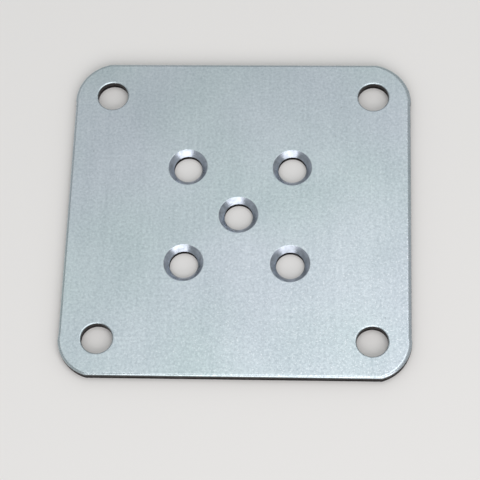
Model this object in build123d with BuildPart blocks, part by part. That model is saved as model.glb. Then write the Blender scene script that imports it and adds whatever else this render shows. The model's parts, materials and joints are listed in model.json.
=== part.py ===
from build123d import *
import os
from math import asin, atan, degrees

# Mounting plate, blanked from steel sheet: four plain bolt holes at the corners and five
# countersunk screw holes in the middle. Millimetres, +Z up. It lies on its back face, and
# the origin is the centre of that face. The countersunk face looks up.

# Sheet
width = 100.0               # along X, between the two sheared sides
length = 100.0              # along Y, between the two cut-off ends
thickness = 3.0

# Corners, nibbled off with a round punch that doesn't quite line up with the edges
corner_r = 12.0
corner_overrun = 0.3        # how far the round would pass the end that cuts it short
corner_spur = 0.15          # how far the round stands proud of the side it starts from
spur_run = 0.8              # length of side that slopes out to the round

# Cut edges: rolled over at the front, sheared square in the middle, and torn off leaning
# inwards at the back. All of it follows from the thickness.
edge_roll = 0.2 * thickness
hole_roll = 0.13 * thickness
tear_height = 0.44 * thickness
tear_lean = 0.05 * thickness

# Bolt holes, plain, one at each corner
bolt_hole_d = 9.0
bolt_hole_inset = 11.0      # from the edges to the hole's centre

# Screw holes, countersunk: four on a square in the middle and one at its centre
screw_hole_d = 8.3
screw_spacing = 30.7
countersink_d = 11.5
countersink_angle = 90.0

with BuildPart() as plate:
    # The outline where the shear ends and the tear begins: one quarter, mirrored twice
    with BuildSketch(Plane.XY.offset(tear_height)) as outline:
        with BuildLine():
            side_x = width / 2
            end_y = length / 2
            round_y = end_y + corner_overrun - corner_r
            round_sweep = degrees(asin((end_y - round_y) / corner_r))
            side = Line((side_x, 0), (side_x, round_y - spur_run))
            spur = Line(side @ 1, (side_x + corner_spur, round_y))
            corner = CenterArc((side_x + corner_spur - corner_r, round_y), corner_r, 0, round_sweep)
            Line(corner @ 1, (0, end_y))
            mirror(about=Plane.YZ)
            mirror(about=Plane.XZ)
        make_face()
    extrude(amount=thickness - tear_height)
    extrude(outline.sketch, amount=-tear_height, taper=degrees(atan(tear_lean / tear_height)))
    front = plate.faces().sort_by(Axis.Z)[-1]
    fillet(front.outer_wire().edges(), edge_roll)

    # Bolt holes, punched from the front, so their rims roll and tear as the outline does
    front_plane = Plane.XY.offset(thickness)
    with Locations(front_plane):
        with GridLocations(width - 2 * bolt_hole_inset, length - 2 * bolt_hole_inset, 2, 2):
            Hole(bolt_hole_d / 2)
    rims = plate.edges(Select.LAST).filter_by(GeomType.CIRCLE).group_by(Axis.Z)
    fillet(rims[-1], hole_roll)
    chamfer(rims[0], tear_lean, tear_height, reference=plate.faces().sort_by(Axis.Z)[0])

    # Screw holes, each with the cone of its screw's head sunk from the front
    reach = screw_spacing / 2
    square = [(x, y) for x in (-reach, reach) for y in (-reach, reach)]
    with Locations(front_plane):
        with Locations((0, 0), *square):
            CounterSinkHole(screw_hole_d / 2, countersink_d / 2, counter_sink_angle=countersink_angle)

plate.part.label = "plate"
os.makedirs("parts", exist_ok=True)
export_step(plate.part, "parts/plate.step")
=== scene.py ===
import bpy
import bmesh
import json
from math import asin, cos, pi, radians, sin
from mathutils import Matrix, Vector


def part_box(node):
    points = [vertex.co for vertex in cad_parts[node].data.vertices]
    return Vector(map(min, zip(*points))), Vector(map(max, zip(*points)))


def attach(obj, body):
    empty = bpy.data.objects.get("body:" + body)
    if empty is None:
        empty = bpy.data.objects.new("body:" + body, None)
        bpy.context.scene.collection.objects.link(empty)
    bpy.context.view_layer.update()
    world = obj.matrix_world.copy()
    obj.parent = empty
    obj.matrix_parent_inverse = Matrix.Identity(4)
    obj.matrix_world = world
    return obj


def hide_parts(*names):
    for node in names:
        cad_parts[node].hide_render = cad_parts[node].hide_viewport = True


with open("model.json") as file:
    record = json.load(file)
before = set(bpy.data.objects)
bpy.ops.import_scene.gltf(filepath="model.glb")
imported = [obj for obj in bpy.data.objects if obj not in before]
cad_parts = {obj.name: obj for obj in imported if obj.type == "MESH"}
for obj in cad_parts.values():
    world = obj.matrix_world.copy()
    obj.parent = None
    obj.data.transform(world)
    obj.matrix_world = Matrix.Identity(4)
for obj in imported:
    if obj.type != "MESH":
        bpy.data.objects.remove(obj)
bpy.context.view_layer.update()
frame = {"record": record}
mm = 0.001
tearHeight = 1.32 * mm      # above the back, where the sheared wall ends and the torn one starts

# Everything is placed from the frame: the sheet's box, and the hole patterns in its record
sheetLow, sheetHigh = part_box("plate")
mounts = {mount["name"]: mount["dims"] for mount in frame["record"]["mounts"]}
boltDims = mounts["bolt_holes"]
screwDims = mounts["screw_holes"]
print("frame loaded: sheet", [round(size / mm, 2) for size in sheetHigh - sheetLow], "mm")

# Camera and light

cameraLook = {
    "aim": Vector((0.54, -6.75, 0)) * mm,
    "azimuth": radians(8.33),       # round to the right of the front
    "elevation": radians(65.45),
    "roll": radians(-7.08),
    "distance": 540.3 * mm,
    "lens": 139.5,
}


def makeCamera(look):
    flat = cos(look["elevation"])
    away = Vector((flat * sin(look["azimuth"]), -flat * cos(look["azimuth"]), sin(look["elevation"])))
    camera = bpy.data.objects.new("camera", bpy.data.cameras.new("camera"))
    bpy.context.scene.collection.objects.link(camera)
    camera.data.lens = look["lens"]
    camera.data.clip_start = 0.01
    turn = (-away).to_track_quat("-Z", "Y").to_matrix().to_4x4()
    place = Matrix.Translation(look["aim"] + away * look["distance"])
    camera.matrix_world = place @ turn @ Matrix.Rotation(look["roll"], 4, "Z")
    bpy.context.scene.camera = camera


# Softboxes: a wide one in front above the camera, a fill over the back, and the room's own light
lightLook = {
    "room": {"color": (0.97, 0.99, 1.0), "strength": 0.50},
    "front": {"place": (0.18, -0.75, 0.58), "size": (1.2, 0.6), "power": 4.8, "color": (1.0, 0.96, 0.97)},
    "top": {"place": (0.14, 0.06, 1.1), "size": (0.8, 0.7), "power": 3.2, "color": (0.99, 0.99, 1.0)},
}


def makeSoftbox(name, look):
    lamp = bpy.data.lights.new(name, "AREA")
    lamp.shape = "RECTANGLE"
    lamp.size, lamp.size_y = look["size"]
    lamp.energy = look["power"]
    lamp.color = look["color"]
    softbox = bpy.data.objects.new(name, lamp)
    bpy.context.scene.collection.objects.link(softbox)
    place = Vector(look["place"])
    turn = (-place).to_track_quat("-Z", "Y").to_matrix().to_4x4()
    softbox.matrix_world = Matrix.Translation(place) @ turn


def makeLight(look):
    world = bpy.data.worlds.new("room")
    world.use_nodes = True
    background = world.node_tree.nodes["Background"]
    background.inputs["Color"].default_value = (*look["room"]["color"], 1)
    background.inputs["Strength"].default_value = look["room"]["strength"]
    bpy.context.scene.world = world
    makeSoftbox("softboxFront", look["front"])
    makeSoftbox("softboxTop", look["top"])


makeCamera(cameraLook)
makeLight(lightLook)
bpy.context.scene.view_settings.view_transform = "Standard"
print("camera and light ready")

# Finishes


def addNode(tree, kind, inputs=None, **settings):
    node = tree.nodes.new(kind)
    for name, value in settings.items():
        setattr(node, name, value)
    for name, value in (inputs or {}).items():
        if isinstance(value, bpy.types.NodeSocket):
            tree.links.new(value, node.inputs[name])
        else:
            node.inputs[name].default_value = value
    return node


def blendColor(tree, factor, first, second, mode="MIX"):
    node = addNode(tree, "ShaderNodeMix", data_type="RGBA", blend_type=mode)
    for socket, value in ((node.inputs[0], factor), (node.inputs[6], first), (node.inputs[7], second)):
        if isinstance(value, bpy.types.NodeSocket):
            tree.links.new(value, socket)
        else:
            socket.default_value = value if isinstance(value, float) else (*value, 1)
    return node.outputs[2]


def rescale(tree, value, low, high, toLow=0.0, toHigh=1.0):
    settings = {"Value": value, "From Min": low, "From Max": high, "To Min": toLow, "To Max": toHigh}
    return addNode(tree, "ShaderNodeMapRange", settings).outputs["Result"]


def addNoise(tree, place, scale, detail):
    settings = {"Vector": place, "Scale": scale, "Detail": detail}
    return addNode(tree, "ShaderNodeTexNoise", settings).outputs["Fac"]


def makeMottleGroup():
    # Uneven crystals of a metal coat: fine grain, blotches of a few millimetres and broad clouds
    group = bpy.data.node_groups.new("zincMottle", "ShaderNodeTree")
    for name, start in (("Grain Scale", 2200.0), ("Blotch Scale", 420.0), ("Cloud Scale", 45.0)):
        group.interface.new_socket(name, in_out="INPUT", socket_type="NodeSocketFloat").default_value = start
    for name in ("Grain", "Blotches", "Clouds"):
        group.interface.new_socket(name, in_out="OUTPUT", socket_type="NodeSocketFloat")
    start = group.nodes.new("NodeGroupInput")
    end = group.nodes.new("NodeGroupOutput")
    place = addNode(group, "ShaderNodeTexCoord").outputs["Object"]
    for name, scale, detail, rough in (
        ("Grain", "Grain Scale", 3.0, 0.6),
        ("Blotches", "Blotch Scale", 3.0, 0.55),
        ("Clouds", "Cloud Scale", 2.0, 0.5),
    ):
        noise = addNode(group, "ShaderNodeTexNoise", {"Vector": place, "Detail": detail, "Roughness": rough})
        group.links.new(start.outputs[scale], noise.inputs["Scale"])
        group.links.new(noise.outputs["Fac"], end.inputs[name])
    return group


mottleGroup = makeMottleGroup()


def addMottle(tree, grain, blotch, cloud):
    node = addNode(tree, "ShaderNodeGroup", node_tree=mottleGroup)
    node.inputs["Grain Scale"].default_value = grain
    node.inputs["Blotch Scale"].default_value = blotch
    node.inputs["Cloud Scale"].default_value = cloud
    return node.outputs


def newMaterial(name):
    material = bpy.data.materials.new(name)
    material.use_nodes = True
    return material, material.node_tree, material.node_tree.nodes["Principled BSDF"]


zincLook = {
    "pale": (0.690, 0.758, 0.790),
    "dull": (0.350, 0.418, 0.458),
    "speck": (0.16, 0.18, 0.20),
    "fleck": (0.86, 0.88, 0.90),
    "green": (0.965, 1.0, 0.970),
    "lilac": (1.0, 0.985, 1.0),
    "roughness": 0.42,
    "roughnessSwing": 0.04,
    "grainScale": 4800.0,
    "blotchScale": 1300.0,
    "cloudScale": 42.0,
    "grainShare": 0.5,
    "lineShare": 0.1,
    "cloudShare": 0.18,
    "lineStretch": (900.0, 25.0, 900.0),
    "pitScale": 190.0,
    "driftScale": 24.0,
    "fleckScale": 3100.0,
    "fleckFrom": -20 * mm,      # flecks thicken between these two places, towards the front right corner
    "fleckTo": 85 * mm,
}
zincColors = ("Pale", "Dull", "Speck", "Fleck", "Green", "Lilac")


def makeZincSkinGroup(look):
    # Zinc coat on rolled sheet: finely mottled, with faint rolling lines, pits and pale flecks
    group = bpy.data.node_groups.new("zincSkin", "ShaderNodeTree")
    for name in zincColors:
        group.interface.new_socket(name, in_out="INPUT", socket_type="NodeSocketColor")
    group.interface.new_socket("Sheen", in_out="OUTPUT", socket_type="NodeSocketColor")
    for name in ("Blotches", "Height"):
        group.interface.new_socket(name, in_out="OUTPUT", socket_type="NodeSocketFloat")
    color = group.nodes.new("NodeGroupInput").outputs
    end = group.nodes.new("NodeGroupOutput")
    mottle = addMottle(group, look["grainScale"], look["blotchScale"], look["cloudScale"])
    place = addNode(group, "ShaderNodeTexCoord").outputs["Object"]

    rollPlace = addNode(group, "ShaderNodeMapping", {"Vector": place, "Scale": look["lineStretch"]})
    rollLines = addNoise(group, rollPlace.outputs[0], 1.0, 2.0)

    grain = rescale(group, mottle["Grain"], 0.3, 0.7)
    blotches = rescale(group, mottle["Blotches"], 0.3, 0.7)
    clouds = rescale(group, mottle["Clouds"], 0.3, 0.7)
    lines = rescale(group, rollLines, 0.3, 0.7)

    sheen = blendColor(group, blotches, color["Dull"], color["Pale"])
    for share, pattern in (("grainShare", grain), ("lineShare", lines), ("cloudShare", clouds)):
        layer = blendColor(group, pattern, color["Dull"], color["Pale"])
        sheen = blendColor(group, look[share], sheen, layer)

    pitPattern = {"Vector": place, "Scale": look["pitScale"], "Randomness": 1.0}
    pits = addNode(group, "ShaderNodeTexVoronoi", pitPattern)
    isPit = rescale(group, pits.outputs["Distance"], 0.02, 0.05, 0.5, 0.0)
    sheen = blendColor(group, isPit, sheen, color["Speck"])

    # The coat drifts between a greenish and a lilac grey from place to place
    driftNoise = addNoise(group, place, look["driftScale"], 1.0)
    drift = rescale(group, driftNoise, 0.35, 0.65)
    tint = blendColor(group, drift, color["Green"], color["Lilac"])
    sheen = blendColor(group, 1.0, sheen, tint, "MULTIPLY")

    # Pale flecks are single bright crystals
    spot = addNode(group, "ShaderNodeSeparateXYZ", {"Vector": place}).outputs
    towardCorner = addNode(group, "ShaderNodeMath", {0: spot["X"], 1: spot["Y"]}, operation="SUBTRACT")
    fleckShare = rescale(group, towardCorner.outputs[0], look["fleckFrom"], look["fleckTo"], 0.2, 0.8)
    fleckNoise = addNoise(group, place, look["fleckScale"], 1.0)
    fleck = rescale(group, fleckNoise, 0.62, 0.72)
    isFleck = addNode(group, "ShaderNodeMath", {0: fleck, 1: fleckShare}, operation="MULTIPLY").outputs[0]
    sheen = blendColor(group, isFleck, sheen, color["Fleck"])

    height = addNode(group, "ShaderNodeMath", {0: grain, 1: blotches}, operation="ADD").outputs[0]
    group.links.new(sheen, end.inputs["Sheen"])
    group.links.new(mottle["Blotches"], end.inputs["Blotches"])
    group.links.new(height, end.inputs["Height"])
    return group


zincSkinGroup = makeZincSkinGroup(zincLook)


def makeZinc(name, look):
    material, tree, shader = newMaterial(name)
    skin = addNode(tree, "ShaderNodeGroup", node_tree=zincSkinGroup)
    for socket in zincColors:
        skin.inputs[socket].default_value = (*look[socket.lower()], 1)
    tree.links.new(skin.outputs["Sheen"], shader.inputs["Base Color"])
    shader.inputs["Metallic"].default_value = 1.0
    rough = look["roughness"] + look["roughnessSwing"]
    smooth = look["roughness"] - look["roughnessSwing"]
    roughness = rescale(tree, skin.outputs["Blotches"], 0.3, 0.7, rough, smooth)
    tree.links.new(roughness, shader.inputs["Roughness"])
    height = skin.outputs["Height"]
    bump = addNode(tree, "ShaderNodeBump", {"Height": height, "Strength": 0.15, "Distance": 0.05 * mm})
    tree.links.new(bump.outputs["Normal"], shader.inputs["Normal"])
    return material


# Cut-edge colours, both painted shade: far darker than steel, they stand in for the shade and dark
# reflections on the walls; the torn one is darker still, a painted contact shadow
cutPaintedShadeLook = {
    "sheared": (0.042, 0.037, 0.036),
    "torn": (0.010, 0.008, 0.008),
    "shearedRoughness": 0.42,
    "tornRoughness": 0.75,
}


def makeCutSteelPaintedShade(look):
    # Cut steel where the sheet was sheared and punched: a burnished band above a torn one, both painted near
    # black as painted shade and painted dark reflection
    material, tree, shader = newMaterial("cutSteelPaintedShade")
    place = addNode(tree, "ShaderNodeTexCoord").outputs["Object"]
    streakPlace = addNode(tree, "ShaderNodeMapping", {"Vector": place, "Scale": (2600.0, 2600.0, 260.0)})
    streaks = addNoise(tree, streakPlace.outputs[0], 1.0, 3.0)
    shade = rescale(tree, streaks, 0.3, 0.7)

    # The tear starts at an uneven height
    height = addNode(tree, "ShaderNodeSeparateXYZ", {"Vector": place}).outputs["Z"]
    uneven = rescale(tree, streaks, 0.3, 0.7, -0.15 * mm, 0.15 * mm)
    level = addNode(tree, "ShaderNodeMath", {0: height, 1: uneven}, operation="ADD").outputs[0]
    isTornAndPaintedShadow = rescale(tree, level, tearHeight, tearHeight + 0.2 * mm, 1.0, 0.0)
    # Painted shadow: the torn band below is darker, standing in for the contact shadow at the foot of the
    # walls
    steelPaintedShade = blendColor(tree, isTornAndPaintedShadow, look["sheared"], look["torn"])
    steelPaintedShade = blendColor(tree, 0.6, steelPaintedShade, blendColor(tree, shade, look["torn"], steelPaintedShade))
    tree.links.new(steelPaintedShade, shader.inputs["Base Color"])
    shader.inputs["Metallic"].default_value = 0.0
    shader.inputs["Specular IOR Level"].default_value = 0.1
    roughness = rescale(tree, isTornAndPaintedShadow, 0.0, 1.0, look["shearedRoughness"], look["tornRoughness"])
    tree.links.new(roughness, shader.inputs["Roughness"])
    bump = addNode(tree, "ShaderNodeBump", {"Height": shade, "Strength": 0.4, "Distance": 0.05 * mm})
    tree.links.new(bump.outputs["Normal"], shader.inputs["Normal"])
    return material


coneLook = {
    "pale": (0.48, 0.53, 0.61),
    "dull": (0.30, 0.335, 0.375),
    "roughness": 0.26,
}


def makeSunkCone(look):
    # The countersinks were turned before plating, so their cones are smoother than the face
    material, tree, shader = newMaterial("turnedZinc")
    mottle = addMottle(tree, 1500.0, 600.0, 120.0)
    place = addNode(tree, "ShaderNodeTexCoord").outputs["Object"]
    # On a cone a pattern that changes with height alone runs round it, as turning marks do
    ringPlace = addNode(tree, "ShaderNodeMapping", {"Vector": place, "Scale": (60.0, 60.0, 7000.0)})
    rings = addNoise(tree, ringPlace.outputs[0], 1.0, 2.0)
    blotches = rescale(tree, mottle["Blotches"], 0.3, 0.7)
    tree.links.new(blendColor(tree, blotches, look["dull"], look["pale"]), shader.inputs["Base Color"])
    shader.inputs["Metallic"].default_value = 1.0
    roughness = rescale(tree, mottle["Clouds"], 0.3, 0.7, look["roughness"] - 0.04, look["roughness"] + 0.06)
    tree.links.new(roughness, shader.inputs["Roughness"])
    bump = addNode(tree, "ShaderNodeBump", {"Height": rings, "Strength": 0.5, "Distance": 0.05 * mm})
    tree.links.new(bump.outputs["Normal"], shader.inputs["Normal"])
    return material


zinc = makeZinc("satinZinc", zincLook)
rolledZinc = makeZinc("rolledZinc", {**zincLook, "roughness": 0.27})
cutSteelPaintedShade = makeCutSteelPaintedShade(cutPaintedShadeLook)
sunkCone = makeSunkCone(coneLook)
print("finishes ready")

# Plate

plateLook = {
    "tearLean": 0.15 * mm,
    "edgeRoll": 0.6 * mm,       # how far the front edge rolls over, outline and holes
    "holeRoll": 0.39 * mm,
    "widerRolls": {"left": 0.1 * mm, "right": 0.5 * mm, "front": 0.1 * mm, "rear": 0.2 * mm},
    "margin": 0.12 * mm,        # flat ring beside each roll, which keeps the face's shading flat
    "spur": 0.15 * mm,          # how far the nibbled rounds stand proud of the sides
    "spurRun": 0.8 * mm,
    "rollSteps": 6,
    "arcSteps": 30,
    "holeSteps": 96,
    "coneDiameter": 11.5 * mm,
    "rimBreak": 0.05 * mm,
    "weld": 0.002 * mm,
    "flatSlope": 0.999,         # cosines of the slope: above this the face is flat, and below this the face takes the cut steel, whose dark colour is painted shade
    "steepSlope": 0.4,          # and below this the plating ends and the cut steel shows
    "sharpAngle": radians(32),
    # which way each corner lies, its radius, and how far its round would pass the end
    "corners": (
        {"side": 1, "end": -1, "radius": 11.8 * mm, "overrun": 0.5 * mm},
        {"side": 1, "end": 1, "radius": 12.9 * mm, "overrun": 0.3 * mm},
        {"side": -1, "end": 1, "radius": 12.6 * mm, "overrun": 0.3 * mm},
        {"side": -1, "end": -1, "radius": 11.6 * mm, "overrun": 0.4 * mm},
    ),
}
finishes = {"zinc": 0, "cut": 1, "cone": 2, "rolled": 3}


def addCorner(bm, corner, look, height):
    # The round starts where it stands proud of the side, and stops where the end cuts it short
    radius = corner["radius"]
    halfSide = sheetHigh.x - look["spur"]
    centre = Vector((
        corner["side"] * (sheetHigh.x - radius),
        corner["end"] * (sheetHigh.y + corner["overrun"] - radius),
        height,
    ))
    foot = bm.verts.new((corner["side"] * halfSide, centre.y - corner["end"] * look["spurRun"], height))
    proud = bm.verts.new(centre + Vector((corner["side"] * radius, 0, 0)))
    bm.edges.new((foot, proud))
    sweep = asin((sheetHigh.y - abs(centre.y)) / radius)
    turn = (0, 0, corner["side"] * corner["end"])
    made = bmesh.ops.spin(bm, geom=[proud], cent=centre, axis=turn, angle=sweep, steps=look["arcSteps"])
    last = [item for item in made["geom_last"] if isinstance(item, bmesh.types.BMVert)][0]
    return foot, last


def widenRolls(bm, look):
    # The roll-over is wider on some sides: each ring moves in by its height's share of the extra
    wallTop = sheetHigh.z - look["edgeRoll"]
    for vert in bm.verts:
        share = max(0.0, (vert.co.z - wallTop) / look["edgeRoll"]) ** 2
        right, rear = vert.co.x > 0, vert.co.y > 0
        vert.co.x *= 1 - share * look["widerRolls"]["right" if right else "left"] / sheetHigh.x
        vert.co.y *= 1 - share * look["widerRolls"]["rear" if rear else "front"] / sheetHigh.y


def rollDown(bm, face, roll, steps, margin):
    # Insets a face step by step up a quarter round, then once more across the flat
    reach, rise = roll, 0.0
    for step in range(1, steps + 1):
        angle = pi / 2 * step / steps
        nextReach = roll * (1 - (1 - cos(angle)))
        nextRise = roll * sin(angle)
        bmesh.ops.inset_individual(
            bm, faces=[face], thickness=reach - nextReach, depth=nextRise - rise, use_even_offset=True
        )
        reach, rise = nextReach, nextRise
    bmesh.ops.inset_individual(bm, faces=[face], thickness=margin, depth=0, use_even_offset=True)


def makeRim(bm, look):
    height = tearHeight
    ends = [addCorner(bm, corner, look, height) for corner in look["corners"]]
    (footFR, lastFR), (footRR, lastRR), (footRL, lastRL), (footFL, lastFL) = ends
    for pair in ((footFR, footRR), (lastRR, lastRL), (footRL, footFL), (lastFL, lastFR)):
        bm.edges.new(pair)
    bmesh.ops.contextual_create(bm, geom=bm.edges[:])
    face = bm.faces[:][0]

    # Up: the sheared wall, then the rolled edge
    made = bmesh.ops.extrude_face_region(bm, geom=[face], use_keep_orig=True)
    upper = [item for item in made["geom"] if isinstance(item, bmesh.types.BMFace)][0]
    shear = sheetHigh.z - look["edgeRoll"] - height
    bmesh.ops.translate(bm, verts=upper.verts[:], vec=(0, 0, shear))
    bmesh.ops.recalc_face_normals(bm, faces=bm.faces[:])
    rollDown(bm, upper, look["edgeRoll"], look["rollSteps"], look["margin"])

    # Down: the torn wall, leaning in
    bmesh.ops.inset_individual(
        bm, faces=[face], thickness=look["tearLean"], depth=height, use_even_offset=True
    )
    bmesh.ops.inset_individual(bm, faces=[face], thickness=look["margin"], depth=0, use_even_offset=True)
    bmesh.ops.delete(bm, geom=[upper, face], context="FACES_ONLY")
    widenRolls(bm, look)


def spinSection(bm, centre, points, steps, finish):
    # points are (radius, height) from the front down
    before = set(bm.faces)
    verts = [bm.verts.new((centre[0] + radius, centre[1], height)) for radius, height in points]
    edges = [bm.edges.new(pair) for pair in zip(verts, verts[1:])]
    bmesh.ops.spin(
        bm, geom=verts + edges, cent=(*centre, 0), axis=(0, 0, 1), angle=2 * pi, steps=steps, use_merge=True
    )
    for face in set(bm.faces) - before:
        face.material_index = finishes[finish]


def makeBoltHole(bm, centre, radius, look):
    top = sheetHigh.z
    roll = look["holeRoll"]
    arc = []
    for step in range(look["rollSteps"] + 1):
        angle = pi / 2 * step / look["rollSteps"]
        arc.append((radius + roll * (1 - sin(angle)), top - roll * (1 - cos(angle))))
    spinSection(bm, centre, [(radius + roll + look["margin"], top), *arc], look["holeSteps"], "zinc")
    wall = [arc[-1], (radius, tearHeight), (radius + look["tearLean"], 0)]
    spinSection(bm, centre, wall, look["holeSteps"], "cut")
    back = [wall[-1], (radius + look["tearLean"] + look["margin"], 0)]
    spinSection(bm, centre, back, look["holeSteps"], "zinc")


def makeScrewHole(bm, centre, radius, look):
    top = sheetHigh.z
    rim = look["coneDiameter"] / 2
    landTop = top - (rim - radius)
    edge = look["rimBreak"]
    lip = [(rim + edge + look["margin"], top), (rim + edge, top), (rim + edge * 0.3, top - edge * 0.3),
           (rim - edge, top - edge)]
    spinSection(bm, centre, lip, look["holeSteps"], "zinc")
    spinSection(bm, centre, [lip[-1], (radius, landTop)], look["holeSteps"], "cone")
    spinSection(bm, centre, [(radius, landTop), (radius, 0)], look["holeSteps"], "cut")
    spinSection(bm, centre, [(radius, 0), (radius + look["margin"], 0)], look["holeSteps"], "zinc")


def makePlate(look):
    bm = bmesh.new()
    makeRim(bm, look)
    for face in bm.faces:
        face.material_index = finishes["zinc"]

    boltX = boltDims["spacing_x_mm"] / 2 * mm
    boltY = boltDims["spacing_y_mm"] / 2 * mm
    for x in (-boltX, boltX):
        for y in (-boltY, boltY):
            makeBoltHole(bm, (x, y), boltDims["hole_r_mm"] * mm, look)

    screwX = screwDims["spacing_x_mm"] / 2 * mm
    screwY = screwDims["spacing_y_mm"] / 2 * mm
    screwPlaces = [(0, 0)] + [(x, y) for x in (-screwX, screwX) for y in (-screwY, screwY)]
    for centre in screwPlaces:
        makeScrewHole(bm, centre, screwDims["hole_r_mm"] * mm, look)
    bmesh.ops.remove_doubles(bm, verts=bm.verts[:], dist=look["weld"])

    # Front and back faces, between the outline and the holes
    for level in (sheetHigh.z, 0.0):
        edges = [
            edge for edge in bm.edges
            if edge.is_boundary and all(abs(vert.co.z - level) < 0.01 * mm for vert in edge.verts)
        ]
        made = bmesh.ops.triangle_fill(bm, use_beauty=True, use_dissolve=False, edges=edges)
        print("face at", round(level / mm, 2), "mm:", len(made["geom"]), "items from", len(edges), "edges")
    bmesh.ops.recalc_face_normals(bm, faces=bm.faces[:])

    # The rolled edges are burnished, and past a steep slope the faces take the cut steel, whose near-black
    # colour is painted shade
    for face in bm.faces:
        if face.material_index == finishes["zinc"] and abs(face.normal.z) < look["flatSlope"]:
            steep = abs(face.normal.z) < look["steepSlope"]
            face.material_index = finishes["cut" if steep else "rolled"]

    mesh = bpy.data.meshes.new("mountingPlate")
    bm.to_mesh(mesh)
    openEdges = sum(1 for edge in bm.edges if not edge.is_manifold)
    bm.free()
    for face in mesh.polygons:
        face.use_smooth = True
    mesh.set_sharp_from_angle(angle=look["sharpAngle"])
    piece = bpy.data.objects.new("mountingPlate", mesh)
    bpy.context.scene.collection.objects.link(piece)
    for material in (zinc, cutSteelPaintedShade, sunkCone, rolledZinc):
        mesh.materials.append(material)
    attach(piece, "root")
    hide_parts("plate")
    print("plate:", len(mesh.polygons), "faces,", openEdges, "open edges")
    return piece


makePlate(plateLook)

# Floor

floorLook = {
    "color": (0.80, 0.79, 0.77),
    "roughness": 0.9,
    "halfSize": 3.0,
    "gap": 0.02 * mm,           # below the plate, so the two don't touch
}


def makeFloorPaint(look):
    material, tree, shader = newMaterial("palePaint")
    shader.inputs["Base Color"].default_value = (*look["color"], 1)
    shader.inputs["Roughness"].default_value = look["roughness"]
    shader.inputs["Specular IOR Level"].default_value = 0.1
    return material


def makeFloor(look):
    bm = bmesh.new()
    bmesh.ops.create_grid(bm, x_segments=1, y_segments=1, size=look["halfSize"])
    bmesh.ops.translate(bm, verts=bm.verts[:], vec=(0, 0, sheetLow.z - look["gap"]))
    mesh = bpy.data.meshes.new("floor")
    bm.to_mesh(mesh)
    bm.free()
    floor = bpy.data.objects.new("floor", mesh)
    bpy.context.scene.collection.objects.link(floor)
    mesh.materials.append(makeFloorPaint(look))


makeFloor(floorLook)
print("floor laid")
